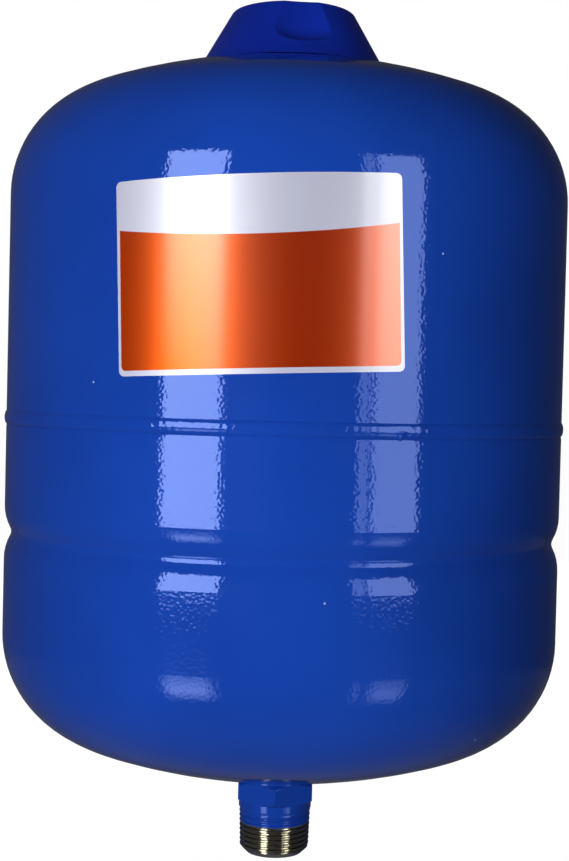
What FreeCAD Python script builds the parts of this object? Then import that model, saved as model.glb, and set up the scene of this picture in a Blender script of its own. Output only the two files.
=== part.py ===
import FreeCAD, Part
import math
import os

# A small vertical accumulator (diaphragm pressure tank) of about eight litres, in millimetres.
# +Z runs up the tank's axis and -Y is the front, where the label is.
# The origin is the centre of the lower end face of the screwed water connection.
# The tank is modelled as it is sold: charged with air, so the diaphragm lies down on its liner.

# Shell: two deep-drawn cups with dished heads, lapped and welded round the middle.
body_diameter = 208.0
shell_wall = 1.2
crown_radius = 222.0
knuckle_radius = 41.0
body_height = 265.9
spigot_length = 32.5
seam_height = 131.5
lap_length = 9.0
joggle_length = 3.6
bead_proud = 0.9
bead_half_width = 2.4
bead_root = 0.5

# Rolled groove that locks the clench ring, the diaphragm and the liner.
groove_height = 89.2
groove_depth = 2.5
groove_half_width = 10.0
groove_root_radius = 4.0

# Soft and clamped pieces inside.
liner_wall = 1.5
diaphragm_wall = 2.0
clench_wall = 1.5
clench_lip = 1.5
rim_bead_radius = 2.6
spout_wall = 1.0
spout_step = 0.2
spout_end_height = 8.1
spout_mouth_radius = 2.5
liner_ring_section = 1.7
liner_ring_height = 24.0

# Water connection: tapered pipe thread, hexagon and neck, turned from one bar.
thread_end_radius = 13.02
thread_taper = 1.0 / 32.0
thread_length = 17.4
end_chamfer = 2.4
shoulder_radius = 13.8
shoulder_length = 2.6
hexagon_sides = 6
hexagon_flats = 28.0
hexagon_height = 8.0
hexagon_chamfer_angle = 30.0
neck_radius = 13.9
port_radius = 9.0
port_length = 8.0
weld_leg = 3.0

# Air valve stem on top.
stem_collar_radius = 6.0
stem_collar_height = 3.0
stem_flange_radius = 8.5
stem_flange_thickness = 2.0
stem_thread_radius = 3.85
stem_length = 14.6
stem_tip_chamfer = 0.5
stem_chamber_radius = 2.65
stem_chamber_depth = 7.6
stem_passage_radius = 2.25
stem_weld_leg = 2.2

# Valve core inside the stem, measured down from the stem's tip.
plug_top = 1.0
plug_length = 4.2
plug_radius = 2.55
plug_bore_radius = 1.2
plug_slot_width = 1.1
plug_slot_depth = 1.6
barrel_length = 7.2
barrel_radius = 2.0
barrel_bore_radius = 1.45
barrel_floor = 0.6
gate_clearance = 0.35
gasket_drop = 0.4
gasket_length = 1.5
gasket_radius = 2.5
pin_radius = 0.5
pin_top = 0.3
pin_collar_radius = 1.0
pin_collar_length = 0.6
pin_collar_drop = 1.0
seal_thickness = 0.8
seal_radius = 1.6
cup_radius = 1.75
cup_floor = 0.5
spring_wire_radius = 0.14
spring_turns = 5

# Protective cap: a moulded cone with three thumb scoops and a threaded socket.
cap_base_radius = 35.2
cap_half_angle = 30.0
cap_height = 22.2
cap_wall = 2.2
cap_top_radius = 400.0
cap_edge_radius = 2.4
cap_least_edge_radius = 0.6
cap_rim_clearance = 0.35
scoop_count = 3
scoop_first_angle = -82.5
scoop_radius = 26.0
scoop_lip_radius = 9.0
scoop_top_depth = 1.2
scoop_foot_depth = 3.8
scoop_foot_height = 19.6
scoop_edge_radius = 1.5
socket_radius = 8.0
socket_clearance = 0.08
cap_ring_section = 1.7
cap_ring_clearance = 0.2
cap_socket_gap = 0.3
cap_socket_headroom = 1.0

# Label: a foil sticker, put on a little askew to the left of the front.
label_width = 95.0
label_height = 62.5
label_thickness = 0.2
label_corner_radius = 1.8
label_azimuth = -5.5
label_skew = 2.3
label_above_seam = 48.3

# Clearances between pieces that touch on the real tank.
seat = 0.05
soft_gap = 0.15

# How far a weld's face bows out as a share of its leg, how far a cutting solid runs past what it cuts,
# and the distance under which two points of an outline are one.
weld_crown = 0.125
cut_margin = 1.0
same_point = 1e-6

# Values worked out from the sizes above.
body_radius = body_diameter / 2
bottom_apex = spigot_length
top_apex = spigot_length + body_height
seam = bottom_apex + seam_height
groove = bottom_apex + groove_height
head_depth = crown_radius - math.sqrt((crown_radius - knuckle_radius) ** 2
                                      - (body_radius - knuckle_radius) ** 2)
head_angle = math.asin((body_radius - knuckle_radius) / (crown_radius - knuckle_radius))
groove_angle = 2 * math.atan(groove_depth / groove_half_width)
groove_shoulder_radius = groove_half_width / math.sin(groove_angle) - groove_root_radius
lap_offset = shell_wall + seat
joggle_radius = (lap_offset ** 2 + joggle_length ** 2) / (4 * lap_offset)
joggle_angle = math.asin(joggle_length / (2 * joggle_radius))
joggle_start = seam - joggle_length
liner_inset = shell_wall + soft_gap
diaphragm_inset = liner_inset + liner_wall + soft_gap
clench_inset = diaphragm_inset + diaphragm_wall + soft_gap
spout_radius = port_radius + spout_step + spout_wall
hexagon_start = thread_length + shoulder_length
neck_start = hexagon_start + hexagon_height
stem_tip = top_apex + stem_length
collar_top = top_apex + stem_collar_height


class Section:
    """A half section in the r-z plane, drawn edge by edge and then turned round the tank's axis."""

    def __init__(self, r, z):
        self.edges = []
        self.pen = FreeCAD.Vector(r, 0, z)
        self.start = self.pen

    def line(self, r, z):
        end = FreeCAD.Vector(r, 0, z)
        if end.distanceToPoint(self.pen) > same_point:
            self.edges.append(Part.LineSegment(self.pen, end).toShape())
            self.pen = end
        return self

    def arc(self, centre_r, centre_z, radius, first, last):
        """Arc about a centre, from one angle to another in degrees, where 0 points outwards."""
        def at(angle):
            turn = math.radians(angle)
            return FreeCAD.Vector(centre_r + radius * math.cos(turn), 0, centre_z + radius * math.sin(turn))
        self.line(at(first).x, at(first).z)
        self.edges.append(Part.Arc(at(first), at((first + last) / 2), at(last)).toShape())
        self.pen = at(last)
        return self

    def bulge(self, r, z, height):
        """Arc to a point, bowed by a height to the left of the way it is drawn."""
        end = FreeCAD.Vector(r, 0, z)
        chord = end - self.pen
        side = FreeCAD.Vector(-chord.z, 0, chord.x).normalize()
        middle = (self.pen + end) * 0.5 + side * height
        self.edges.append(Part.Arc(self.pen, middle, end).toShape())
        self.pen = end
        return self

    def turned(self):
        self.line(self.start.x, self.start.z)
        face = Part.Face(Part.Wire(self.edges))
        return face.revolve(FreeCAD.Vector(0, 0, 0), FreeCAD.Vector(0, 0, 1), 360)


def head_z(apex, way, r, inset):
    """Height of a dished head's crown at radius r, on the surface inset below the outside."""
    return apex + way * (crown_radius - math.sqrt((crown_radius - inset) ** 2 - r ** 2))


def draw_head(section, apex, way, inset, r_inner, outward):
    """Crown and knuckle arcs of a head: way is +1 for the bottom head and -1 for the top one."""
    crown_centre = apex + way * crown_radius
    knuckle_centre = apex + way * head_depth
    join = math.degrees(head_angle)
    tip = math.degrees(math.asin(r_inner / (crown_radius - inset)))
    base = -90 * way
    crown = (base + way * tip, base + way * join)
    knuckle = (base + way * join, 0)
    if outward:
        section.arc(0, crown_centre, crown_radius - inset, crown[0], crown[1])
        section.arc(body_radius - knuckle_radius, knuckle_centre, knuckle_radius - inset,
                    knuckle[0], knuckle[1])
    else:
        section.arc(body_radius - knuckle_radius, knuckle_centre, knuckle_radius - inset,
                    knuckle[1], knuckle[0])
        section.arc(0, crown_centre, crown_radius - inset, crown[1], crown[0])


def draw_groove(section, inset, upward):
    """The rolled groove in the wall: two soft shoulders and a root between them."""
    angle = math.degrees(groove_angle)
    shoulder_r = body_radius - groove_shoulder_radius
    root_r = body_radius - groove_depth + groove_root_radius
    low = (shoulder_r, groove - groove_half_width, groove_shoulder_radius - inset, 0, angle)
    root = (root_r, groove, groove_root_radius + inset, 180 + angle, 180 - angle)
    high = (shoulder_r, groove + groove_half_width, groove_shoulder_radius - inset, -angle, 0)
    strokes = [low, root, high]
    if not upward:
        strokes = [(r, z, radius, last, first) for r, z, radius, first, last in reversed(strokes)]
    for stroke in strokes:
        section.arc(*stroke)


def draw_joggle(section, inset, upward):
    """The S bend that carries the lower cup's edge inside the upper cup."""
    angle = math.degrees(joggle_angle)
    first = (body_radius - joggle_radius, joggle_start, joggle_radius - inset, 0, angle)
    second = (body_radius - lap_offset + joggle_radius, joggle_start + joggle_length,
              joggle_radius + inset, 180 + angle, 180)
    strokes = [first, second]
    if not upward:
        strokes = [(r, z, radius, last, start) for r, z, radius, start, last in reversed(strokes)]
    for stroke in strokes:
        section.arc(*stroke)


def ring(centre_r, centre_z, section_radius):
    """A ring of round section, such as an O-ring."""
    return Part.makeTorus(centre_r, section_radius, FreeCAD.Vector(0, 0, centre_z), FreeCAD.Vector(0, 0, 1))


def tube(r_inner, r_outer, z_low, z_high):
    section = Section(r_inner, z_low)
    section.line(r_outer, z_low).line(r_outer, z_high).line(r_inner, z_high)
    return section.turned()


def make_upper_shell():
    hole = stem_collar_radius + seat
    edge = seam + seat
    section = Section(hole, head_z(top_apex, -1, hole, 0))
    draw_head(section, top_apex, -1, 0, hole, True)
    section.line(body_radius, edge)
    section.line(body_radius - shell_wall, edge)
    draw_head(section, top_apex, -1, shell_wall, hole, False)
    return section.turned()


def make_lower_shell():
    hole = neck_radius + seat
    lap_top = seam + lap_length
    section = Section(hole, head_z(bottom_apex, 1, hole, 0))
    draw_head(section, bottom_apex, 1, 0, hole, True)
    draw_groove(section, 0, True)
    draw_joggle(section, 0, True)
    section.line(body_radius - lap_offset, lap_top)
    section.line(body_radius - lap_offset - shell_wall, lap_top)
    draw_joggle(section, shell_wall, False)
    draw_groove(section, shell_wall, False)
    draw_head(section, bottom_apex, 1, shell_wall, hole, False)
    return section.turned()


def joggle_skin(below):
    """Radius of the lower cup's outside in its S bend, at a height below the seam."""
    rise = max(joggle_length - below, 0)
    if rise <= joggle_length / 2:
        return body_radius - joggle_radius + math.sqrt(joggle_radius ** 2 - rise ** 2)
    return body_radius - lap_offset + joggle_radius - math.sqrt(joggle_radius ** 2 - below ** 2)


def make_girth_weld_bead():
    """Weld metal round the lap, with a root in the notch between the two cups."""
    skin = body_radius + seat
    toe = joggle_skin(bead_half_width) + seat
    waist = joggle_length / 2
    section = Section(toe, seam - bead_half_width)
    section.bulge(skin, seam + bead_half_width, -bead_proud)
    section.line(skin, seam)
    section.line(joggle_skin(bead_root) + 2 * seat, seam)
    section.line(joggle_skin(bead_root) + 2 * seat, seam - bead_root)
    section.line(joggle_skin(waist) + 2 * seat, seam - waist)
    return section.turned()


def make_water_liner():
    """Polypropylene liner: cup, clamped rim and the spout that lines the water connection."""
    inset = liner_inset
    inner = inset + liner_wall
    rim = groove + groove_half_width + clench_lip
    bore = spout_radius - spout_wall
    mouth = bore + spout_mouth_radius
    section = Section(spout_radius, spout_end_height)
    section.line(spout_radius, head_z(bottom_apex, 1, spout_radius, inset))
    draw_head(section, bottom_apex, 1, inset, spout_radius, True)
    draw_groove(section, inset, True)
    section.line(body_radius - inset, rim)
    section.line(body_radius - inner, rim)
    draw_groove(section, inner, False)
    draw_head(section, bottom_apex, 1, inner, mouth, False)
    foot = head_z(bottom_apex, 1, mouth, inner) - spout_mouth_radius
    section.arc(mouth, foot, spout_mouth_radius, 90, 180)
    section.line(bore, spout_end_height)
    return section.turned()


def make_diaphragm():
    """Butyl diaphragm lying on the liner, with a thick rim bead above the clench ring."""
    inset = diaphragm_inset
    inner = inset + diaphragm_wall
    rim = groove + groove_half_width + clench_lip + soft_gap
    bead_r = body_radius - liner_inset - rim_bead_radius
    bead_z = rim + rim_bead_radius - soft_gap
    section = Section(0, head_z(bottom_apex, 1, 0, inset))
    draw_head(section, bottom_apex, 1, inset, 0, True)
    draw_groove(section, inset, True)
    section.line(body_radius - inset, rim)
    section.line(body_radius - inner, rim)
    draw_groove(section, inner, False)
    draw_head(section, bottom_apex, 1, inner, 0, False)
    return section.turned().fuse(ring(bead_r, bead_z, rim_bead_radius)).removeSplitter()


def make_clench_ring():
    """Rolled steel ring whose channel the groove presses the diaphragm and liner into."""
    outer = clench_inset
    inner = outer + clench_wall
    half = groove_half_width + clench_lip
    section = Section(body_radius - outer, groove - half)
    draw_groove(section, outer, True)
    section.line(body_radius - outer, groove + half)
    section.line(body_radius - inner, groove + half)
    draw_groove(section, inner, False)
    section.line(body_radius - inner, groove - half)
    return section.turned()


def make_water_connection():
    """Turned from hexagon bar: chamfered tapered thread, shoulder, hexagon, neck and stepped bore."""
    seat_bore = spout_radius + seat
    groove_r = spout_radius + 2 * soft_gap + liner_ring_section
    groove_half = liner_ring_section / 2 + soft_gap
    top = bottom_apex + shell_wall
    past_corners = hexagon_flats
    section = Section(port_radius, 0)
    section.line(thread_end_radius - end_chamfer, 0)
    section.line(thread_end_radius + end_chamfer * thread_taper, end_chamfer)
    section.line(thread_end_radius + thread_length * thread_taper, thread_length)
    section.line(shoulder_radius, thread_length)
    section.line(shoulder_radius, hexagon_start)
    section.line(past_corners, hexagon_start)
    section.line(past_corners, neck_start)
    section.line(neck_radius, neck_start)
    section.line(neck_radius, top)
    section.line(seat_bore, top)
    section.line(seat_bore, liner_ring_height + groove_half)
    section.line(groove_r, liner_ring_height + groove_half)
    section.line(groove_r, liner_ring_height - groove_half)
    section.line(seat_bore, liner_ring_height - groove_half)
    section.line(seat_bore, port_length)
    section.line(port_radius, port_length)
    turned = section.turned()
    return turned.common(hexagon_blank(top))


def hexagon_blank(top):
    """Hexagon prism with a corner to the front, its ends turned down at the chamfer angle."""
    step = 2 * math.pi / hexagon_sides
    corner = hexagon_flats / 2 / math.cos(step / 2)
    points = [FreeCAD.Vector(corner * math.sin(k * step), -corner * math.cos(k * step), 0)
              for k in range(hexagon_sides + 1)]
    prism = Part.Face(Part.makePolygon(points)).extrude(FreeCAD.Vector(0, 0, top))
    flat = hexagon_flats / 2 - seat
    slope = math.tan(math.radians(hexagon_chamfer_angle))
    fall = (corner - flat) * slope
    cone = Section(0, 0)
    cone.line(flat, 0)
    cone.line(flat, hexagon_start)
    cone.line(corner, hexagon_start + fall)
    cone.line(corner, neck_start - fall)
    cone.line(flat, neck_start)
    cone.line(flat, top)
    cone.line(0, top)
    return prism.common(cone.turned())


def make_connection_weld():
    """Fillet weld between the bottom head and the connection's neck."""
    near = neck_radius + seat
    far = neck_radius + weld_leg
    section = Section(near, bottom_apex - weld_leg + seat)
    section.bulge(far, head_z(bottom_apex, 1, far, -seat), -weld_leg * weld_crown)
    section.line(near, head_z(bottom_apex, 1, near, -seat))
    return section.turned()


def make_stem_weld():
    """Fillet weld between the top head and the valve stem's collar."""
    near = stem_collar_radius + seat
    far = stem_collar_radius + stem_weld_leg
    section = Section(far, head_z(top_apex, -1, far, -seat) + seat)
    section.bulge(near, top_apex + stem_weld_leg, -stem_weld_leg * weld_crown)
    section.line(near, top_apex + 2 * seat)
    return section.turned()


def make_air_valve_stem():
    """Brass stem: flange under the head, collar through it, threaded tube above."""
    flange_top = head_z(top_apex, -1, stem_flange_radius, shell_wall) - seat
    flange_low = flange_top - stem_flange_thickness
    taper = stem_chamber_radius - stem_passage_radius
    section = Section(stem_passage_radius, flange_low)
    section.line(stem_flange_radius, flange_low)
    section.line(stem_flange_radius, flange_top)
    section.line(stem_collar_radius, flange_top)
    section.line(stem_collar_radius, collar_top)
    section.line(stem_thread_radius, collar_top)
    section.line(stem_thread_radius, stem_tip - stem_tip_chamfer)
    section.line(stem_thread_radius - stem_tip_chamfer, stem_tip)
    section.line(stem_chamber_radius, stem_tip)
    section.line(stem_chamber_radius, stem_tip - stem_chamber_depth)
    section.line(stem_passage_radius, stem_tip - stem_chamber_depth - taper)
    return section.turned()


def barrel_top():
    return stem_tip - plug_top - plug_length - seat


def barrel_low():
    return barrel_top() - barrel_length


def make_core_plug():
    """Threaded head of the valve core, slotted across for the valve key."""
    top = stem_tip - plug_top
    body = tube(plug_bore_radius, plug_radius, top - plug_length, top)
    reach = plug_radius + cut_margin
    slot = Part.makeBox(2 * reach, plug_slot_width, plug_slot_depth + cut_margin,
                        FreeCAD.Vector(-reach, -plug_slot_width / 2, top - plug_slot_depth))
    return body.cut(slot)


def make_core_barrel():
    """Barrel under the plug; its floor is the seat that the pin's seal closes against."""
    gate = pin_radius + gate_clearance
    section = Section(gate, barrel_low())
    section.line(barrel_radius, barrel_low())
    section.line(barrel_radius, barrel_top())
    section.line(barrel_bore_radius, barrel_top())
    section.line(barrel_bore_radius, barrel_low() + barrel_floor)
    section.line(gate, barrel_low() + barrel_floor)
    return section.turned()


def make_core_gasket():
    """Ring round the barrel that seals the core in the stem."""
    top = barrel_top() - gasket_drop
    return tube(barrel_radius + seat, gasket_radius, top - gasket_length, top)


def collar_low():
    return barrel_top() - pin_collar_drop - pin_collar_length


def make_core_pin():
    """The pin that is pressed to let air in or out, with the collar its spring pushes on."""
    low = barrel_low() - seal_thickness - cup_floor - 3 * seat
    pin = tube(0, pin_radius, low, stem_tip - pin_top)
    collar = tube(0, pin_collar_radius, collar_low(), collar_low() + pin_collar_length)
    return pin.fuse(collar).removeSplitter()


def make_core_seal():
    """Rubber disc that closes on the barrel's floor."""
    top = barrel_low() - seat
    return tube(pin_radius + seat, seal_radius, top - seal_thickness, top)


def make_core_cup():
    """Brass cup crimped to the pin, which carries the rubber disc."""
    bottom = barrel_low() - seal_thickness - cup_floor - 2 * seat
    section = Section(pin_radius + seat, bottom)
    section.line(cup_radius, bottom)
    section.line(cup_radius, bottom + cup_floor + seal_thickness / 2)
    section.line(seal_radius + seat, bottom + cup_floor + seal_thickness / 2)
    section.line(seal_radius + seat, bottom + cup_floor)
    section.line(pin_radius + seat, bottom + cup_floor)
    return section.turned()


def make_core_spring():
    """Coil spring between the barrel's floor and the pin's collar."""
    low = barrel_low() + barrel_floor + seat + spring_wire_radius
    high = collar_low() - seat - spring_wire_radius
    coil_radius = (pin_radius + barrel_bore_radius) / 2
    helix = Part.makeHelix((high - low) / spring_turns, high - low, coil_radius)
    wire = Part.Wire(Part.makeCircle(spring_wire_radius, FreeCAD.Vector(coil_radius, 0, 0),
                                     FreeCAD.Vector(0, 1, 0)))
    coil = Part.Wire(helix).makePipeShell([wire], True, True)
    coil.translate(FreeCAD.Vector(0, 0, low))
    return coil


def cap_rim():
    """The rim's inner edge hangs just clear of the dished head."""
    inner_edge = cap_base_radius - cap_wall / math.cos(math.radians(cap_half_angle))
    return head_z(top_apex, -1, inner_edge, 0) + cap_rim_clearance


def cap_cone(inset, low):
    """Solid cone of the cap's outline, drawn in by a wall, from a level up to its domed top.

    The edge is an arc that touches both the cone's side and the ball that the top is part of.
    """
    slant = math.radians(cap_half_angle)
    lean = math.tan(slant)
    top_radius = cap_top_radius - inset
    top_centre = cap_rim() + cap_height - cap_top_radius
    edge_radius = max(cap_edge_radius - inset, cap_least_edge_radius)
    reach = cap_base_radius - (inset + edge_radius) / math.cos(slant) - lean * (top_centre - cap_rim())
    spread = (reach * lean) ** 2 - (1 + lean ** 2) * (reach ** 2 - (top_radius - edge_radius) ** 2)
    rise = (reach * lean + math.sqrt(spread)) / (1 + lean ** 2)
    edge_r = reach - lean * rise
    turn = math.degrees(math.atan2(rise, edge_r))
    section = Section(0, low)
    section.line(cap_base_radius - inset / math.cos(slant) - (low - cap_rim()) * lean, low)
    section.arc(edge_r, top_centre + rise, edge_radius, cap_half_angle, turn)
    section.arc(0, top_centre, top_radius, turn, 90)
    return section.turned()


def scoop_cutter(angle, inset):
    """A bar with a bull-nosed end that leans out of the cone, so the scoop is deepest above its lip."""
    slant = math.radians(cap_half_angle)
    radius = scoop_radius + inset
    lip = scoop_lip_radius + inset
    foot_z = cap_rim() + cap_height - scoop_foot_height + scoop_end_rise()
    foot_r = cap_base_radius - (foot_z - cap_rim()) * math.tan(slant)
    top_z = cap_rim() + cap_height
    top_r = cap_base_radius - cap_height * math.tan(slant)
    out = FreeCAD.Vector(math.cos(slant), 0, math.sin(slant))
    foot = FreeCAD.Vector(foot_r, 0, foot_z) + out * (scoop_radius - scoop_foot_depth)
    top = FreeCAD.Vector(top_r, 0, top_z) + out * (scoop_radius - scoop_top_depth)
    along = top - foot
    profile = Section(0, -lip)
    profile.line(radius - lip, -lip)
    profile.arc(radius - lip, 0, lip, -90, 0)
    profile.line(radius, 2 * along.Length)
    profile.line(0, 2 * along.Length)
    cutter = profile.turned()
    lean = math.degrees(math.atan2(along.x, along.z))
    cutter.rotate(FreeCAD.Vector(0, 0, 0), FreeCAD.Vector(0, 1, 0), lean)
    cutter.translate(foot)
    cutter.rotate(FreeCAD.Vector(0, 0, 0), FreeCAD.Vector(0, 0, 1), angle)
    return cutter


def scoop_end_rise():
    """How far above the scoop's lower edge its lip is centred, along the axis."""
    reach = math.sqrt(scoop_lip_radius ** 2 - (scoop_lip_radius - scoop_foot_depth) ** 2)
    return reach * math.cos(math.radians(cap_half_angle))


def scooped(solid, inset):
    for k in range(scoop_count):
        solid = solid.cut(scoop_cutter(scoop_first_angle + k * 360.0 / scoop_count, inset))
    return solid


def softened(solid):
    """The scooped cone with the scoops' edges rounded, as a moulded thumb grip has them."""
    edges = [edge for edge in solid.Edges
             if not edge.Degenerated and isinstance(edge.Curve, Part.BSplineCurve)]
    return solid.makeFillet(scoop_edge_radius, edges)


def make_protective_cap():
    """Moulded cap: scooped cone, even wall, and a socket that screws onto the valve stem."""
    top = cap_rim() + cap_height
    outside = softened(scooped(cap_cone(0, cap_rim()), 0))
    hollow = scooped(cap_cone(cap_wall, cap_rim() - cut_margin), cap_wall)
    socket_low = collar_top + cap_socket_gap
    bore = stem_thread_radius + socket_clearance
    foot = FreeCAD.Vector(0, 0, socket_low)
    socket = Part.makeCylinder(socket_radius, top - socket_low - cap_wall / 2, foot).common(outside)
    body = outside.cut(hollow).fuse(socket)
    hole = Part.makeCylinder(bore, stem_tip + cap_socket_headroom - socket_low, foot)
    recess = tube(0, cap_ring_radius() + cap_ring_section / 2 + cap_ring_clearance,
                  socket_low - cut_margin, cap_ring_z() + cap_ring_section / 2 + cap_ring_clearance)
    return body.cut(hole).cut(recess).removeSplitter()


def cap_ring_radius():
    return stem_thread_radius + cap_ring_clearance + cap_ring_section / 2


def cap_ring_z():
    return collar_top + cap_ring_clearance + cap_ring_section / 2


def make_cap_o_ring():
    return ring(cap_ring_radius(), cap_ring_z(), cap_ring_section / 2)


def make_liner_o_ring():
    centre = spout_radius + soft_gap + liner_ring_section / 2
    return ring(centre, liner_ring_height, liner_ring_section / 2)


def make_label():
    """A rounded rectangle pressed onto the shell, as thick as its foil."""
    half_width = body_radius * math.sin(label_width / 2 / body_radius)
    half_height = label_height / 2
    blank = Part.makeBox(2 * half_width, body_radius, label_height,
                         FreeCAD.Vector(-half_width, -1.5 * body_radius, -half_height))
    upright = [edge for edge in blank.Edges
               if abs(edge.Vertexes[0].Y - edge.Vertexes[-1].Y) > body_radius / 2]
    blank = blank.makeFillet(label_corner_radius, upright)
    blank.rotate(FreeCAD.Vector(0, 0, 0), FreeCAD.Vector(0, 1, 0), -label_skew)
    blank.translate(FreeCAD.Vector(0, 0, seam + label_above_seam))
    blank.rotate(FreeCAD.Vector(0, 0, 0), FreeCAD.Vector(0, 0, 1), label_azimuth)
    low = seam + label_above_seam - label_height
    skin = tube(body_radius + seat, body_radius + seat + label_thickness, low, low + 2 * label_height)
    return blank.common(skin)


nodes = {
    "upper_shell": make_upper_shell,
    "lower_shell": make_lower_shell,
    "girth_weld_bead": make_girth_weld_bead,
    "water_liner": make_water_liner,
    "liner_o_ring": make_liner_o_ring,
    "diaphragm": make_diaphragm,
    "clench_ring": make_clench_ring,
    "water_connection": make_water_connection,
    "connection_weld": make_connection_weld,
    "air_valve_stem": make_air_valve_stem,
    "stem_weld": make_stem_weld,
    "core_plug": make_core_plug,
    "core_barrel": make_core_barrel,
    "core_gasket": make_core_gasket,
    "core_pin": make_core_pin,
    "core_seal": make_core_seal,
    "core_cup": make_core_cup,
    "core_spring": make_core_spring,
    "protective_cap": make_protective_cap,
    "cap_o_ring": make_cap_o_ring,
    "label": make_label,
}

os.makedirs("parts", exist_ok=True)
for name, make in nodes.items():
    shape = make()
    if len(shape.Solids) == 1:
        shape = shape.Solids[0]
    shape.exportStep("parts/" + name + ".step")
    box = shape.BoundBox
    print(name, len(shape.Solids), shape.isValid(), round(shape.Volume, 2),
          [round(v, 2) for v in (box.XMin, box.YMin, box.ZMin, box.XMax, box.YMax, box.ZMax)])
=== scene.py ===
# %% [markdown]
# A small accumulator tank, painted glossy blue, in a plain photo studio.
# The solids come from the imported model, in metres, with +Z up the tank's axis and -Y as the front.
# Most of them keep their shape here and only get a finish. Four pieces get a finer shape: the weld
# bead, whose metal is uneven, the water connection and the valve stem, whose solids have no thread,
# and the valve's spring, which has to shorten when the valve is pressed.

# %% Load the frame
import bpy
import math
import numpy as np
from mathutils import Matrix, Vector


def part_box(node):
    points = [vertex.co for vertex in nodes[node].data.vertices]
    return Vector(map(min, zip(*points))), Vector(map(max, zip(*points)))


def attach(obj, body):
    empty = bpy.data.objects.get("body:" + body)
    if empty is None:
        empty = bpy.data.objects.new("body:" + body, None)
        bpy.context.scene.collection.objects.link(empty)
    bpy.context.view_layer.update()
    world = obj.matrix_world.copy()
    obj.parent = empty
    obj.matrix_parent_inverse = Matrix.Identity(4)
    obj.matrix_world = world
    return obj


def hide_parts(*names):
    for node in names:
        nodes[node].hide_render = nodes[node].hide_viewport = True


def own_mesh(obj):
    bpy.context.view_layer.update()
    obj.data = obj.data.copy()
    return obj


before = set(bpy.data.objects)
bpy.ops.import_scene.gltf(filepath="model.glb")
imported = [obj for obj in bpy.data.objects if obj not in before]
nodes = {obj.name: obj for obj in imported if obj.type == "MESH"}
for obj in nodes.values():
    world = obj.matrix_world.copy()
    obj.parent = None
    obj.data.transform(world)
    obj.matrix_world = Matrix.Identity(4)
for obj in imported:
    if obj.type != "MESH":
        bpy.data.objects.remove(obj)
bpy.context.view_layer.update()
mm = 0.001
print("pieces in the frame:", len(nodes))

# %% [markdown]
# Sizes that several pieces share are read from the frame, so that they follow the solids.
# The shell's radius comes from its lower cup, whose wall is straight below the groove.

# %% Sizes read from the frame
body_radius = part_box("lower_shell")[1].x
seam_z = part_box("upper_shell")[0].z
thread_end_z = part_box("water_connection")[0].z
print("shell radius %.2f mm, seam at %.2f mm" % (body_radius / mm, seam_z / mm))

# %% [markdown]
# Shader maths reads best as maths. The class below wraps one output socket of a node tree, and its
# operators add Math nodes, so that a mask can be written as 1 - mask or mask * 0.3.

# %% A socket that can be added and multiplied
class Wire:
    """One value in a node tree: an output socket, with the operators of ordinary arithmetic."""

    def __init__(self, sheet, socket):
        self.sheet = sheet
        self.socket = socket

    def math(self, operation, other=0.0, swap=False):
        first, second = (other, self) if swap else (self, other)
        return self.sheet.node("ShaderNodeMath", {"operation": operation}, {0: first, 1: second})

    def __add__(self, other):
        return self.math("ADD", other)

    __radd__ = __add__

    def __mul__(self, other):
        return self.math("MULTIPLY", other)

    __rmul__ = __mul__

    def __sub__(self, other):
        return self.math("SUBTRACT", other)

    def __rsub__(self, other):
        return self.math("SUBTRACT", other, swap=True)

    def __truediv__(self, other):
        return self.math("DIVIDE", other)

    def most(self, other):
        return self.math("MAXIMUM", other)

    def size(self):
        return self.math("ABSOLUTE")

    def step(self, low, high):
        """0 under the low value, 1 over the high one, and a smooth ramp between them."""
        settings = {"interpolation_type": "SMOOTHSTEP"}
        inputs = {"Value": self, "From Min": low, "From Max": high}
        return self.sheet.node("ShaderNodeMapRange", settings, inputs)


print("socket maths ready")

# %% [markdown]
# A material is one shader and what feeds it. The class below holds both, and its methods add the few
# nodes that the finishes share, such as noise, bump and the angle round the tank.

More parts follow.
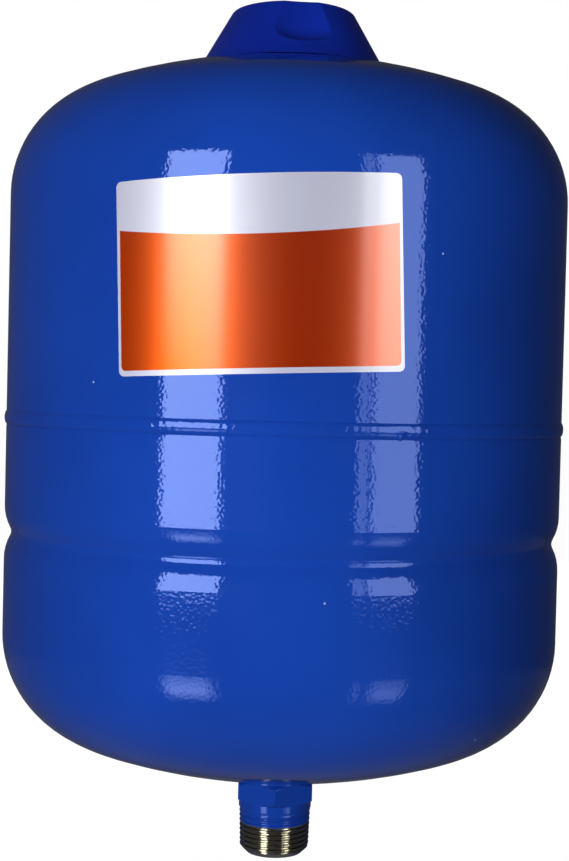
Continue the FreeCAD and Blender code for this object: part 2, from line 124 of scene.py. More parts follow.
# %% A sheet that holds one material
class Sheet:
    """A material with one Principled shader, and one method that adds any node."""

    def __init__(self, name, **constants):
        self.material = bpy.data.materials.new(name)
        self.material.use_nodes = True
        self.tree = self.material.node_tree
        self.shader = self.tree.nodes["Principled BSDF"]
        for socket, value in constants.items():
            self.shader.inputs[socket.replace("_", " ")].default_value = value

    def plug(self, socket, value):
        if isinstance(value, Wire):
            self.tree.links.new(value.socket, socket)
        else:
            socket.default_value = value

    def node(self, kind, settings, inputs, output=0):
        """Adds a node of a type, sets its settings first, then its sockets, and returns one output."""
        node = self.tree.nodes.new(kind)
        for key, value in settings.items():
            setattr(node, key, value)
        for key, value in inputs.items():
            self.plug(node.inputs[key], value)
        return Wire(self, node.outputs[output])

    def place(self):
        return self.node("ShaderNodeTexCoord", {}, {}, "Object")

    def parts(self, vector):
        split = self.tree.nodes.new("ShaderNodeSeparateXYZ")
        self.plug(split.inputs[0], vector)
        return [Wire(self, output) for output in split.outputs]

    def turn(self, x, y):
        """The angle round the tank's axis, counted from the front towards the right."""
        return self.node("ShaderNodeMath", {"operation": "ARCTAN2"}, {0: x, 1: y * -1.0})

    def noise(self, vector, scale, detail=2.0):
        return self.node("ShaderNodeTexNoise", {}, {"Vector": vector, "Scale": scale, "Detail": detail})

    def mix(self, factor, first, second):
        """Blends two colours: the first where the factor is 0, the second where it is 1."""
        node = self.tree.nodes.new("ShaderNodeMix")
        node.data_type = "RGBA"
        self.plug(node.inputs["Factor"], factor)
        self.plug(node.inputs[6], first)
        self.plug(node.inputs[7], second)
        return Wire(self, node.outputs[2])

    def bump(self, height, distance, strength=1.0):
        inputs = {"Height": height, "Distance": distance, "Strength": strength}
        return self.node("ShaderNodeBump", {}, inputs)

    def second(self, factor, **constants):
        """Adds another Principled shader, which takes over from the first where the factor is 1."""
        other = self.tree.nodes.new("ShaderNodeBsdfPrincipled")
        for socket, value in constants.items():
            other.inputs[socket.replace("_", " ")].default_value = value
        blend = self.tree.nodes.new("ShaderNodeMixShader")
        self.plug(blend.inputs[0], factor)
        self.tree.links.new(self.shader.outputs[0], blend.inputs[1])
        self.tree.links.new(other.outputs[0], blend.inputs[2])
        self.tree.links.new(blend.outputs[0], self.tree.nodes["Material Output"].inputs["Surface"])
        return other

    def set(self, **links):
        for socket, value in links.items():
            self.plug(self.shader.inputs[socket.replace("_", " ")], value)
        return self.material


def rgb(red, green, blue):
    """An sRGB colour of 0 to 255 as the linear colour that shaders take."""
    def linear(value):
        value /= 255
        return value / 12.92 if value <= 0.04045 else ((value + 0.055) / 1.055) ** 2.4
    return (linear(red), linear(green), linear(blue), 1.0)


print("shader helpers ready")

# %% [markdown]
# The shell is steel under a thick gloss enamel. Its look is a deep blue base under a clear gloss: the
# studio's tall lamps show in it as upright strips whose edges are ragged, because the enamel has the
# fine waves called orange peel. Bump on two scales makes them, with a faint unevenness in the colour.
# A few nibs of dust sit in the paint: dots on a flat cell pattern that is wrapped round the wall.

# %% Blue enamel
enamel_blue = rgb(23, 69, 176)
enamel_deep = rgb(21, 64, 166)
gloss_tint = (0.36, 0.5, 1.0, 1.0)
peel_size = 950.0
peel_swell = 210.0
swell_share = 0.3
peel_height = 0.03 * mm
cloud_size = 14.0
nib_spacing = 95.0 * mm
nib_radius = 0.42 * mm
nib_pale = rgb(190, 206, 246)


def peel(sheet, place):
    """Height of the orange peel: fine waves, and a broad swell under them."""
    return sheet.noise(place, peel_size, 0.0) + sheet.noise(place, peel_swell, 0.0) * swell_share


def dust(sheet, place):
    """A few pale nibs of dust in the paint: dots round the points of a coarse cell pattern on the wall."""
    x, y, z = sheet.parts(place)
    unrolled = sheet.node("ShaderNodeCombineXYZ", {}, {0: sheet.turn(x, y) * body_radius, 1: z})
    settings = {"voronoi_dimensions": "2D", "feature": "F1"}
    away = sheet.node("ShaderNodeTexVoronoi", settings, {"Vector": unrolled, "Scale": 1 / nib_spacing})
    return 1.0 - (away * nib_spacing).step(nib_radius * 0.5, nib_radius)


def make_enamel():
    sheet = Sheet("blue_enamel", Roughness=0.05, IOR=1.5, Specular_Tint=gloss_tint)
    place = sheet.place()
    cloud = sheet.noise(place, cloud_size, 3.0)
    colour = sheet.mix(cloud.step(0.35, 0.65), enamel_deep, enamel_blue)
    colour = sheet.mix(dust(sheet, place), colour, nib_pale)
    return sheet.set(Base_Color=colour, Normal=sheet.bump(peel(sheet, place), peel_height))


enamel = make_enamel()
print("material", enamel.name)

# %% [markdown]
# The water connection is painted with the tank and then screwed bare again: the paint ends part of
# the way down the thread, and the metal under it is a bright plated steel. One material does both,
# with the height as its mask and a little noise so that the edge isn't ruled.

# %% Half-painted connection
paint_edge_z = 11.9 * mm
paint_edge_waver = 1.2 * mm
paint_edge_softness = 0.3 * mm
paint_edge_size = 260.0
paint_roughness = 0.1
plate_roughness = 0.13
plate_colour = rgb(172, 166, 140)
plate_grain_size = 900.0
plate_grain_height = 0.01 * mm


def make_connection_finish():
    sheet = Sheet("painted_and_plated", IOR=1.5, Specular_Tint=gloss_tint)
    place = sheet.place()
    height = sheet.parts(place)[2]
    ragged = (sheet.noise(place, paint_edge_size, 3.0) - 0.5) * paint_edge_waver
    painted = (height + ragged).step(paint_edge_z - paint_edge_softness, paint_edge_z + paint_edge_softness)
    colour = sheet.mix(painted, plate_colour, enamel_deep)
    rough = plate_roughness - painted * (plate_roughness - paint_roughness)
    grain = sheet.noise(place, plate_grain_size)
    return sheet.set(Base_Color=colour, Metallic=1.0 - painted, Roughness=rough,
                     Normal=sheet.bump(grain, plate_grain_height))


connection_finish = make_connection_finish()
print("material", connection_finish.name)

# %% [markdown]
# The cap is a moulded plastic of nearly the shell's colour, a little more violet, with a satin sheen
# and the faint sparkle of a fine mould texture.

# %% Cap plastic
cap_blue = rgb(13, 39, 158)
cap_blue_pale = rgb(14, 44, 168)
cap_sheen = (0.2, 0.34, 1.0, 1.0)
mould_grain_size = 1800.0
mould_grain_height = 0.02 * mm
cap_cloud_size = 40.0


def make_cap_plastic():
    sheet = Sheet("satin_blue_plastic", IOR=1.46, Specular_Tint=cap_sheen)
    place = sheet.place()
    grain = sheet.noise(place, mould_grain_size)
    cloud = sheet.noise(place, cap_cloud_size)
    colour = sheet.mix(cloud.step(0.3, 0.7), cap_blue, cap_blue_pale)
    return sheet.set(Base_Color=colour, Roughness=0.3 + grain * 0.12,
                     Normal=sheet.bump(grain, mould_grain_height))


cap_plastic = make_cap_plastic()
print("material", cap_plastic.name)

# %% [markdown]
# The label is a metallised film with rounded corners: a white border all round, a pale head field and
# an orange field under a shallow sagging arc. It is blank. The pattern is worked out from the place
# of each point round the shell, so it lies flat on the curved wall as the film does. The orange ink is
# see-through, so the foil under it answers the lamps with a broad orange gleam: a second shader with a
# tinted reflection does that. Over both lies a clear film, whose gloss is stronger to the right and
# to the top.

# %% Label film
label_azimuth = math.radians(-5.5)
label_skew = math.radians(2.3)
label_middle_z = seam_z + 48.25 * mm
label_half_width = 47.5 * mm
label_half_height = 31.25 * mm
side_border = 1.2 * mm
foot_border = 1.8 * mm
field_corner = 1.6 * mm
field_top = 15.8 * mm
field_sag = 3.3 * mm
soft_edge = 0.1 * mm
film_white = rgb(186, 188, 210)
field_orange = rgb(146, 32, 2)
field_gleam = (1.0, 0.17, 0.015, 1.0)
film_middle = 0.38
film_to_right = 0.36
film_to_top = 0.15
film_wave_size = 160.0
film_wave_height = 0.01 * mm


def make_label_film():
    """Across and rise are a point's place on the film, with its skew and its place on the shell undone."""
    gloss = {"Coat_Roughness": 0.16, "Coat_IOR": 1.8}
    sheet = Sheet("label_film", IOR=1.9, Roughness=0.4, **gloss)
    x, y, z = sheet.parts(sheet.place())
    along = (sheet.turn(x, y) - label_azimuth) * body_radius
    up = z - label_middle_z
    across = along * math.cos(label_skew) + up * math.sin(label_skew)
    rise = up * math.cos(label_skew) - along * math.sin(label_skew)
    share = across / label_half_width
    arc = field_top - field_sag + share * share * field_sag
    past_side = (across.size() - (label_half_width - side_border - field_corner)).most(0.0)
    past_foot = (rise * -1.0 - (label_half_height - foot_border - field_corner)).most(0.0)
    past_corner = (past_side * past_side + past_foot * past_foot).math("POWER", 0.5)
    inside = (field_corner - past_corner).step(-soft_edge, soft_edge)
    field = inside * (arc - rise).step(-soft_edge, soft_edge)
    waves = sheet.bump(sheet.noise(sheet.place(), film_wave_size, 1.0), film_wave_height)
    clear_film = film_middle + share * film_to_right + rise / label_half_height * film_to_top
    orange = sheet.second(field, Base_Color=field_orange, IOR=2.6, Roughness=0.3,
                          Specular_Tint=field_gleam, **gloss)
    sheet.plug(orange.inputs["Normal"], waves)
    sheet.plug(orange.inputs["Coat Weight"], clear_film)
    return sheet.set(Base_Color=film_white, Normal=waves, Coat_Weight=clear_film)


label_film = make_label_film()
print("material", label_film.name)

# %% [markdown]
# Inner pieces are hidden when the tank stands, and some show when the cap is unscrewed or the part is
# cut open. Each still gets the finish of its real stuff: brass, rubber, polypropylene or steel.

# %% Inner finishes
def make_plain(name, colour, other, roughness, metallic, scale, height):
    """A finish with two close colours in soft clouds and a fine texture of a given height."""
    sheet = Sheet(name, Metallic=metallic, IOR=1.5)
    place = sheet.place()
    cloud = sheet.noise(place, scale * 0.1, 3.0)
    grain = sheet.noise(place, scale, 2.0)
    return sheet.set(Base_Color=sheet.mix(cloud, colour, other), Roughness=roughness + grain * 0.1,
                     Normal=sheet.bump(grain, height))


brass = make_plain("turned_brass", rgb(196, 160, 84), rgb(178, 140, 70), 0.25, 1.0, 900.0, 0.01 * mm)
steel = make_plain("zinc_steel", rgb(170, 170, 166), rgb(150, 150, 148), 0.35, 1.0, 600.0, 0.01 * mm)
rubber = make_plain("black_rubber", rgb(34, 34, 35), rgb(26, 26, 27), 0.6, 0.0, 700.0, 0.03 * mm)
liner_plastic = make_plain("natural_plastic", rgb(222, 224, 218), rgb(208, 211, 204), 0.4, 0.0, 300.0,
                           0.01 * mm)

finishes = {
    enamel: ["upper_shell", "lower_shell", "girth_weld_bead", "connection_weld", "stem_weld"],
    connection_finish: ["water_connection"],
    cap_plastic: ["protective_cap"],
    label_film: ["label"],
    brass: ["air_valve_stem", "core_plug", "core_barrel", "core_pin", "core_cup"],
    steel: ["clench_ring", "core_spring"],
    rubber: ["diaphragm", "liner_o_ring", "cap_o_ring", "core_seal"],
    liner_plastic: ["water_liner", "core_gasket"],
}
for finish, names in finishes.items():
    for name in names:
        mesh = nodes[name].data
        mesh.materials.clear()
        mesh.materials.append(finish)
print("finished", sum(len(names) for names in finishes.values()), "of", len(nodes), "nodes")

# %% [markdown]
# Turned pieces come next. A lathe makes them from one outline, so here a piece is a grid: its rows
# follow the outline and its columns run round the axis. A thread or a hexagon is then only a change of
# radius that depends on the row's height and on the column's angle, worked out for the whole grid.

# %% Grids that become meshes
sharp_edge = math.radians(32)


def grid_faces(rows, columns, close_rows=False):
    """Quads of a grid whose columns run round, counted so that they face outwards on a turned piece."""
    row = np.arange(rows if close_rows else rows - 1)[:, None]
    column = np.arange(columns)[None, :]
    after = (column + 1) % columns
    here = row * columns
    above = (row + 1) % rows * columns
    quads = [here + column, here + after, above + after, above + column]
    return np.stack(quads, axis=-1).reshape(-1, 4)


def outline_rows(corners):
    """Rows along an outline of (radius, height, steps to reach it), spaced evenly along each stretch."""
    radii = [np.array([corners[0][0]])]
    heights = [np.array([corners[0][1]])]
    for (r_from, z_from, _), (r_to, z_to, steps) in zip(corners, corners[1:]):
        share = np.arange(1, steps + 1) / steps
        radii.append(r_from + (r_to - r_from) * share)
        heights.append(z_from + (z_to - z_from) * share)
    return np.concatenate(radii)[:, None], np.concatenate(heights)[:, None]


def make_turned(name, radius, height, turn, finish):
    """Puts a closed grid into a mesh: x is radius times cosine, y is radius times sine, z is height."""
    radius, height, turn = np.broadcast_arrays(radius, height, turn)
    points = np.stack([radius * np.cos(turn), radius * np.sin(turn), height], axis=-1).reshape(-1, 3)
    mesh = bpy.data.meshes.new(name)
    mesh.from_pydata(points.tolist(), [], grid_faces(*radius.shape, close_rows=True).tolist())
    mesh.shade_smooth()
    mesh.set_sharp_from_angle(angle=sharp_edge)
    mesh.materials.append(finish)
    thing = bpy.data.objects.new(name, mesh)
    bpy.context.scene.collection.objects.link(thing)
    print(name, len(mesh.polygons), "faces")
    return thing


flank_share = 0.5


def thread_groove(height, turn, pitch, depth, first, last, fade):
    """Depth of a right-hand thread below its crests.

    Along the axis it is a row of V grooves with small flats, one to each pitch, shifted by one pitch
    in a full turn. It fades out over a short stretch at both ends.
    """
    phase = np.mod(height / pitch - turn / (2 * np.pi), 1.0)
    groove = np.clip(0.5 + (0.5 - np.abs(2 * phase - 1)) / flank_share, 0, 1)
    start = np.clip((height - first) / fade, 0, 1)
    finish = np.clip((last - height) / fade, 0, 1)
    return depth * groove * start * finish


print("grid helpers ready")


# %% [markdown]
# The water connection is cut from hexagon bar. Its tapered pipe thread has 14 turns to the inch, and
# its end is chamfered so that the thread starts clean. The hexagon's radius is its half width divided
# by the cosine of the angle from the nearest flat, held in by a cone at each end, as a lathe leaves it.
# The outline's third number counts the rows, so that only the thread and the hexagon have many.

# %% Water connection
inch = 25.4 * mm
connection_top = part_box("water_connection")[1].z
port_radius = 9.0 * mm
thread_end_radius = 13.02 * mm
thread_taper = 1 / 32
thread_length = 17.4 * mm
end_chamfer = 2.4 * mm
shoulder_radius = 13.8 * mm
hexagon_low = 20.0 * mm
hexagon_high = 28.0 * mm
hexagon_flat = 14.0 * mm
neck_radius = 13.9 * mm
seat_radius = 10.25 * mm
groove_radius = 12.2 * mm
groove_low = 23.0 * mm
groove_high = 25.0 * mm
port_length = 8.0 * mm
pipe_pitch = inch / 14
pipe_depth = 0.6 * mm
thread_fade = 1.4 * pipe_pitch
corner_cone = math.radians(30)

round_turn = np.linspace(0, 2 * np.pi, 240, endpoint=False)[None, :] - np.pi / 2
thread_low_radius = thread_end_radius + end_chamfer * thread_taper
thread_top_radius = thread_end_radius + thread_length * thread_taper
outline = [
    (port_radius, thread_end_z, 0),
    (thread_end_radius - end_chamfer, thread_end_z, 2),
    (thread_low_radius, end_chamfer, 20),
    (thread_top_radius, thread_length, 130),
    (shoulder_radius, thread_length, 1),
    (shoulder_radius, hexagon_low, 3),
    (hexagon_flat, hexagon_low, 1),
    (hexagon_flat, hexagon_high, 24),
    (neck_radius, hexagon_high, 1),
    (neck_radius, connection_top, 3),
    (seat_radius, connection_top, 1),
    (seat_radius, groove_high, 2),
    (groove_radius, groove_high, 1),
    (groove_radius, groove_low, 1),
    (seat_radius, groove_low, 1),
    (seat_radius, port_length, 4),
    (port_radius, port_length, 1),
    (port_radius, thread_end_z + mm, 3),
]
row_radius, row_height = outline_rows(outline)
chamfer_foot = thread_end_radius - end_chamfer
chamfer_limit = chamfer_foot + row_height * (thread_low_radius - chamfer_foot) / end_chamfer
crest = thread_end_radius + row_height * thread_taper
pipe_groove = thread_groove(row_height, round_turn, pipe_pitch, pipe_depth,
                            -pipe_pitch, thread_length, thread_fade)
on_thread = (row_height > thread_end_z) & (row_height < thread_length) & (row_radius > chamfer_foot)
radius = np.where(on_thread, np.minimum(chamfer_limit, crest - pipe_groove), row_radius)
from_flat = np.mod(round_turn + np.pi / 2, np.pi / 3) - np.pi / 6
from_end = np.minimum(row_height - hexagon_low, hexagon_high - row_height)
cone = hexagon_flat + from_end / math.tan(corner_cone)
on_hexagon = (row_height >= hexagon_low) & (row_height <= hexagon_high) & (row_radius == hexagon_flat)
radius = np.where(on_hexagon, np.minimum(hexagon_flat / np.cos(from_flat), cone), radius)
connection = make_turned("threaded_connection", radius, row_height, round_turn, connection_finish)
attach(connection, "tank")
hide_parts("water_connection")

# %% [markdown]
# The bead round the middle is weld metal, laid in one pass and painted over. A drawn bead would be a
# perfect ring; a real one wanders and swells a little and carries fine ripples. Sums of sines that
# close after one turn give that without chance, and one small lump hangs from its lower edge.

# %% Weld bead
bead_low, bead_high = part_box("girth_weld_bead")
bead_half = (bead_high.z - bead_low.z) / 2
bead_middle = (bead_high.z + bead_low.z) / 2
bead_crown = bead_high.x - body_radius
bead_rise = bead_crown * 0.96
bead_turn = np.linspace(0, 2 * np.pi, 1080, endpoint=False)[None, :]
across = np.sin(np.linspace(-np.pi / 2, np.pi / 2, 33))[:, None]
lump_turn = np.mod(math.radians(20.8 - 90), 2 * np.pi)
lump_width = 1.3 * mm
lump_rise = 0.25 * mm
lump_sag = 0.8 * mm


def ring_waves(turn, terms):
    """A sum of sines that closes after one turn: each is its height times sin(count * turn + start)."""
    return sum(height * np.sin(count * turn + start) for height, count, start in terms)


swell = 0.84 + ring_waves(bead_turn, [(0.06, 7, 1.0), (0.04, 19, 2.1), (0.03, 43, 0.0)])
wander = ring_waves(bead_turn, [(0.09 * mm, 5, 0.0), (0.06 * mm, 23, 1.3)])
ripple = 0.03 * np.sin(230 * bead_turn + 2.4 * across ** 2)
lump = np.exp(-((bead_turn - lump_turn) * body_radius / lump_width) ** 2) * (across < 0)
skin = body_radius + 0.04 * mm
roundness = (1 - across ** 2) ** 0.8
outer_radius = skin + (bead_rise * (swell + ripple) + lump * lump_rise) * roundness
outer_height = bead_middle + bead_half * across + wander * roundness - lump * lump_sag * across ** 2
inner_height = outer_height[::-1][1:-1]
inner_radius = skin - 0.02 * mm - np.where(inner_height < seam_z, 0.5 * mm, 0.0) * roundness[1:-1]
bead = make_turned("weld_bead", np.concatenate([outer_radius, inner_radius]),
                   np.concatenate([outer_height, inner_height]), bead_turn, enamel)
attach(bead, "tank")
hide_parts("girth_weld_bead")

# %% [markdown]
# Under the cap stands the brass valve stem. Its thread has 32 turns to the inch, and it is what the
# cap screws onto, so it comes into view when the cap is turned up.

# %% Air valve stem
stem_low, stem_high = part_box("air_valve_stem")
flange_radius = stem_high.x
flange_thickness = 2.0 * mm
collar_radius = 6.0 * mm
collar_top = 301.4 * mm
stem_radius = 3.85 * mm
tip_chamfer = 0.5 * mm
chamber_radius = 2.65 * mm
chamber_floor = stem_high.z - 7.6 * mm
passage_radius = 2.25 * mm
valve_pitch = inch / 32
valve_depth = 0.42 * mm
stem_outline = [
    (passage_radius, stem_low.z, 0),
    (flange_radius, stem_low.z, 2),
    (flange_radius, stem_low.z + flange_thickness, 2),
    (collar_radius, stem_low.z + flange_thickness, 1),
    (collar_radius, collar_top, 4),
    (stem_radius, collar_top, 1),
    (stem_radius, stem_high.z - tip_chamfer, 150),
    (stem_radius - tip_chamfer, stem_high.z, 4),
    (chamber_radius, stem_high.z, 1),
    (chamber_radius, chamber_floor, 4),
    (passage_radius, chamber_floor - (chamber_radius - passage_radius), 1),
    (passage_radius, stem_low.z + mm, 2),
]
stem_row, stem_height = outline_rows(stem_outline)
stem_turn = np.linspace(0, 2 * np.pi, 120, endpoint=False)[None, :]
stem_groove = thread_groove(stem_height, stem_turn, valve_pitch, valve_depth,
                            collar_top + mm, stem_high.z, valve_pitch)
on_stem = (stem_row == stem_radius) & (stem_height > collar_top)
stem_radii = np.where(on_stem, stem_row - stem_groove, stem_row)
stem = make_turned("threaded_stem", stem_radii, stem_height, stem_turn, brass)
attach(stem, "tank")
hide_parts("air_valve_stem")

# %% [markdown]
# In the valve core a small coil spring holds the pin up. Its solid can't shorten, and a wire made here
# takes its place: a ring of points carried along a helix. Its end faces are flat, as cut wire is.

# %% Valve spring
spring_low, spring_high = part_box("core_spring")
spring_wire_radius = 0.14 * mm
spring_turns = 5


def make_coil(name, coil_radius, wire_radius, low, high, turns, finish):
    """A wire along a helix: its centre line is (R cos a, R sin a, z), with z growing evenly with a.

    Round each centre stands a ring of points: the outward direction times cos b, plus the direction
    square to it and to the wire times sin b, both times the wire's radius.
    """
    rows, columns = 48 * turns + 1, 14
    a = np.linspace(0, 2 * np.pi * turns, rows)[:, None]
    b = np.linspace(0, 2 * np.pi, columns, endpoint=False)[None, :]
    lean = np.arctan2((high - low) / (2 * np.pi * turns), coil_radius)
    reach = coil_radius + wire_radius * np.cos(b)
    aside = wire_radius * np.sin(b) * np.sin(lean)
    x = reach * np.cos(a) - aside * np.sin(a)
    y = reach * np.sin(a) + aside * np.cos(a)
    z = low + (high - low) * a / a[-1, 0] - wire_radius * np.sin(b) * np.cos(lean)
    faces = grid_faces(rows, columns).tolist()
    faces.append(list(range(columns))[::-1])
    faces.append(list(range((rows - 1) * columns, rows * columns)))
    mesh = bpy.data.meshes.new(name)
    mesh.from_pydata(np.stack([x, y, z], axis=-1).reshape(-1, 3).tolist(), [], faces)
    mesh.shade_smooth()
    mesh.set_sharp_from_angle(angle=sharp_edge)
    mesh.materials.append(finish)
    thing = bpy.data.objects.new(name, mesh)
    bpy.context.scene.collection.objects.link(thing)
    print(name, len(mesh.polygons), "faces")
    return thing


coil_radius = spring_high.x - spring_wire_radius
coil_low = spring_low.z + spring_wire_radius
coil_high = spring_high.z - spring_wire_radius
spring = make_coil("valve_spring", coil_radius, spring_wire_radius, coil_low, coil_high, spring_turns, steel)
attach(spring, "tank")
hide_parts("core_spring")
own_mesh(spring)

# %% [markdown]
# What a gloss surface shows is what stands round it. Two tall soft boxes in front give the two upright
# strips, with a narrow third one beside the right box, and a dark tent all round keeps the enamel deep
# between them. The light is split: the boxes are only what the gloss shows, and a key lamp beside the
# camera gives the colour its soft fall from the front to the edges. A rim lamp at the right and a fill
# behind keep those sides readable. The lower head shows each box again, weak and soft-edged, as a shiny
# table would mirror it, so each box has a faded copy below.

# %% Studio lamps
lamp_distance = 1.1
box_low = -0.035
box_high = 0.66
table_low = -0.6
table_high = -0.07
table_share = 0.5
box_fades = (0.09, 0.06, 0.06)
table_fades = (0.5, 0.5, 0.28)
hard_edges = (0.0001, 0.0001, 0.0001)
strip_boxes = [("left", -46.6, -22.6, 42.0), ("right", 32.5, 51.8, 20.0), ("right_edge", 27.2, 31.6, 12.0)]


def turn_to(angle, distance, height):
    """The point at an angle round the tank, counted from the front towards the right."""
    return Vector((math.sin(angle) * distance, -math.cos(angle) * distance, height))


def fade_edges(lamp, low_share, high_share, side_share):
    """Lets a lamp's light fall off towards its ends and its sides, over shares of its size.

    Parametric gives the place on the lamp, 0 to 1 each way. Each ramp's top is the ramp before it, so
    that the four are multiplied.
    """
    lamp.use_nodes = True
    tree = lamp.node_tree
    place = tree.nodes.new("ShaderNodeNewGeometry")
    split = tree.nodes.new("ShaderNodeSeparateXYZ")
    tree.links.new(place.outputs["Parametric"], split.inputs[0])
    across, up = split.outputs[:2]
    strength = None
    for along, first, last in ((up, 0.0, low_share), (up, 1.0, 1.0 - high_share),
                               (across, 0.0, side_share), (across, 1.0, 1.0 - side_share)):
        ramp = tree.nodes.new("ShaderNodeMapRange")
        ramp.interpolation_type = "SMOOTHSTEP"
        ramp.inputs["From Min"].default_value = first
        ramp.inputs["From Max"].default_value = last
        tree.links.new(along, ramp.inputs["Value"])
        if strength:
            tree.links.new(strength, ramp.inputs["To Max"])
        strength = ramp.outputs[0]
    tree.links.new(strength, tree.nodes["Emission"].inputs["Strength"])


def tall_lamp(name, first, last, distance, low, high, power, fades=hard_edges):
    """An upright area lamp that fills the space between two angles round the tank, in degrees."""
    middle = math.radians((first + last) / 2)
    lamp = bpy.data.lights.new(name, "AREA")
    lamp.shape = "RECTANGLE"
    lamp.size = 2 * distance * math.tan(math.radians((last - first) / 2))
    lamp.size_y = high - low
    lamp.energy = power * lamp.size * lamp.size_y
    fade_edges(lamp, *fades)
    thing = bpy.data.objects.new(name, lamp)
    thing.location = turn_to(middle, distance, (low + high) / 2)
    thing.rotation_euler = (math.radians(90), 0, middle)
    bpy.context.scene.collection.objects.link(thing)
    return thing


for name, first, last, power in strip_boxes:
    box = tall_lamp(name + "_box", first, last, lamp_distance, box_low, box_high, power, box_fades)
    mirrored = tall_lamp(name + "_box_in_table", first, last, lamp_distance, table_low, table_high,
                         power * table_share, table_fades)
    box.visible_diffuse = False
    mirrored.visible_diffuse = False

key = tall_lamp("key", -23.0, -8.0, 1.0, -0.04, 0.33, 82.0)
back = tall_lamp("back_fill", 165.0, 215.0, 1.0, -0.1, 0.9, 8.0)
rim = tall_lamp("right_rim", 125.0, 145.0, 1.0, 0.0, 0.3, 34.0)
for lamp in (key, back, rim):
    lamp.visible_glossy = False
print("lamps:", len(bpy.data.lights))

# %% [markdown]
# Round it all stands the dark tent, a ball that only the gloss sees: the camera and the soft light go
# through it. It glows a little, more to the left and below, so that no part of the gloss is black.

# %% Dark tent
def stage_piece(name, points, faces):
    """A surface of the studio, which isn't part of the tank, and the sheet of its own light."""
    mesh = bpy.data.meshes.new(name)
    mesh.from_pydata(points.tolist(), [], faces.tolist())
    thing = bpy.data.objects.new(name, mesh)
    bpy.context.scene.collection.objects.link(thing)
    sheet = Sheet(name + "_stuff", Roughness=1.0, Base_Color=(0, 0, 0, 1), Specular_IOR_Level=0.0)
    sheet.shader.inputs["Emission Strength"].default_value = 1.0
    mesh.materials.append(sheet.material)
    return thing, sheet


def tent_points(radius, low, high, rings, sides):
    """A bowl over a bowl: rings of points on a ball, squeezed in height between the floor and the top."""
    lift = np.linspace(-np.pi / 2, np.pi / 2, rings)[:, None]
    turn = np.linspace(0, 2 * np.pi, sides, endpoint=False)[None, :]
    x = radius * np.cos(lift) * np.sin(turn)
    y = radius * np.cos(lift) * np.cos(turn)
    z = (low + high) / 2 + (high - low) / 2 * np.sin(lift) + 0 * turn
    return np.stack([x, y, z], axis=-1).reshape(-1, 3)


tent_radius = 2.4
tent_low = -1.2
tent_high = 2.6
tent_rings = 33
tent_sides = 64
tent_glow = 0.028
left_glow = 0.035
table_glow = 0.03
foot_glow = 0.1
glow_blue = 1.15
tent_grid = tent_points(tent_radius, tent_low, tent_high, tent_rings, tent_sides)
tent, tent_sheet = stage_piece("dark_tent", tent_grid, grid_faces(tent_rings, tent_sides))
tent_x, tent_y, tent_z = tent_sheet.parts(tent_sheet.place())
left_share = (tent_x * -0.5).step(-1.0, 1.0)
under_table = 1.0 - tent_z.step(-0.42, -0.34)
under_foot = 1.0 - tent_z.step(-1.15, -0.8)
glow = left_share * left_glow + (under_table * table_glow + under_foot * foot_glow) + tent_glow
glow_colour = tent_sheet.node("ShaderNodeCombineColor", {}, {0: glow, 1: glow, 2: glow * glow_blue})
tent_sheet.set(Emission_Color=glow_colour)
tent.visible_camera = False
tent.visible_diffuse = False
tent.visible_shadow = False
tent.visible_transmission = False
print("tent ready")

# %% [markdown]
# The floor is a pale sheet just under the connection. It is nearly white to the camera by itself, and
# takes only a little of its brightness from the lamps, so that the tank's shadow on it stays faint.
# From below it is clear, so that the underside can be looked at.

# %% Floor
floor_reach = 6.0
floor_drop = 0.2 * mm
floor_shade = (0.12, 0.12, 0.12, 1)
floor_white = (0.97, 0.97, 0.97, 1)
floor_corners = np.array([[-1, -1, 0], [1, -1, 0], [1, 1, 0], [-1, 1, 0]]) * floor_reach
floor_corners[:, 2] = thread_end_z - floor_drop
floor, floor_sheet = stage_piece("floor", floor_corners, np.array([[0, 1, 2, 3]]))
from_above = 1.0 - floor_sheet.node("ShaderNodeNewGeometry", {}, {}, "Backfacing")
floor_sheet.set(Base_Color=floor_shade, Emission_Color=floor_white, Alpha=from_above)
floor.visible_glossy = False
floor.visible_diffuse = False
floor.visible_shadow = False
print("floor ready")

# %% [markdown]
# The world is white where the camera, metal or glass looks at it, and dimmer for soft light, so that
# the background is white without lighting the tank any more.

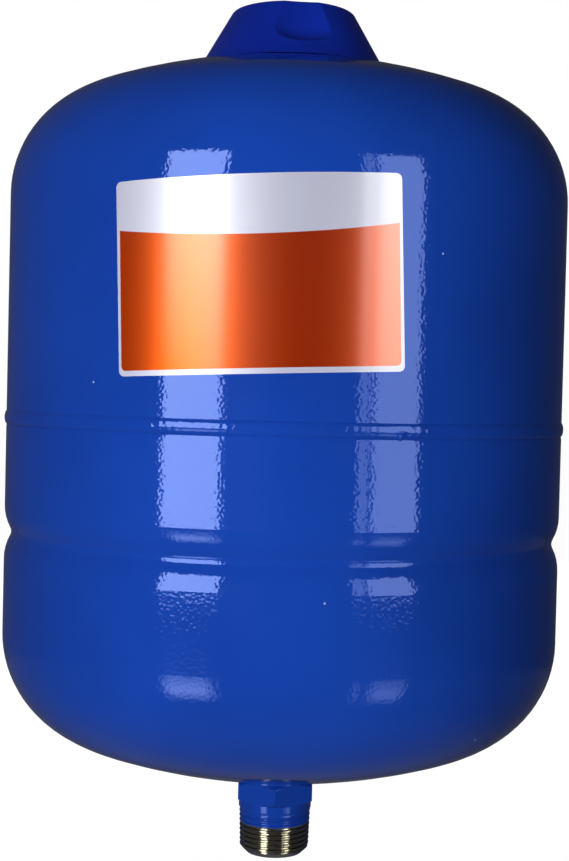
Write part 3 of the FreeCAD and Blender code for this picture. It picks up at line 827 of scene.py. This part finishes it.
# %% World
soft_light = 0.06
world = bpy.data.worlds.new("white_room")
bpy.context.scene.world = world
world.use_nodes = True
tree = world.node_tree
background = tree.nodes["Background"]
background.inputs["Color"].default_value = (1, 1, 1, 1)
path = tree.nodes.new("ShaderNodeLightPath")
seen = tree.nodes.new("ShaderNodeMath")
seen.operation = "MAXIMUM"
tree.links.new(path.outputs["Is Camera Ray"], seen.inputs[0])
tree.links.new(path.outputs["Is Glossy Ray"], seen.inputs[1])
clear = tree.nodes.new("ShaderNodeMath")
clear.operation = "MAXIMUM"
tree.links.new(seen.outputs[0], clear.inputs[0])
tree.links.new(path.outputs["Is Transmission Ray"], clear.inputs[1])
strength = tree.nodes.new("ShaderNodeMapRange")
strength.inputs["To Min"].default_value = soft_light
tree.links.new(clear.outputs[0], strength.inputs["Value"])
tree.links.new(strength.outputs[0], background.inputs["Strength"])
print("world ready")

# %% [markdown]
# The camera stands where the photographer's did: 582 mm in front of the axis, a little above the
# tank's middle, tipped down a degree and a half and rolled by nearly as much, as the photo leans.

# %% Camera
camera_distance = 581.8 * mm
camera_height = 176.0 * mm
camera_tip = 0.0261
camera_roll = 0.024
focal_pixels = 1528.6
frame_height_pixels = 861
frame_width_pixels = 569
sensor_height = 36.0
centre_x_pixels = 283.77

camera_data = bpy.data.cameras.new("camera")
camera_data.sensor_fit = "VERTICAL"
camera_data.sensor_height = sensor_height
camera_data.lens = focal_pixels * sensor_height / frame_height_pixels
camera_data.shift_x = (frame_width_pixels / 2 - centre_x_pixels) / frame_height_pixels
camera = bpy.data.objects.new("camera", camera_data)
camera.location = (0, -camera_distance, camera_height)
forward = Vector((0, math.cos(camera_tip), -math.sin(camera_tip)))
facing = forward.to_track_quat("-Z", "Y").to_matrix().to_4x4()
camera.rotation_euler = (facing @ Matrix.Rotation(camera_roll, 4, "Z")).to_euler()
camera_data.clip_start = 0.01
bpy.context.scene.collection.objects.link(camera)
bpy.context.scene.camera = camera
print("lens %.1f mm" % camera_data.lens)

bpy.context.scene.view_settings.view_transform = "Standard"
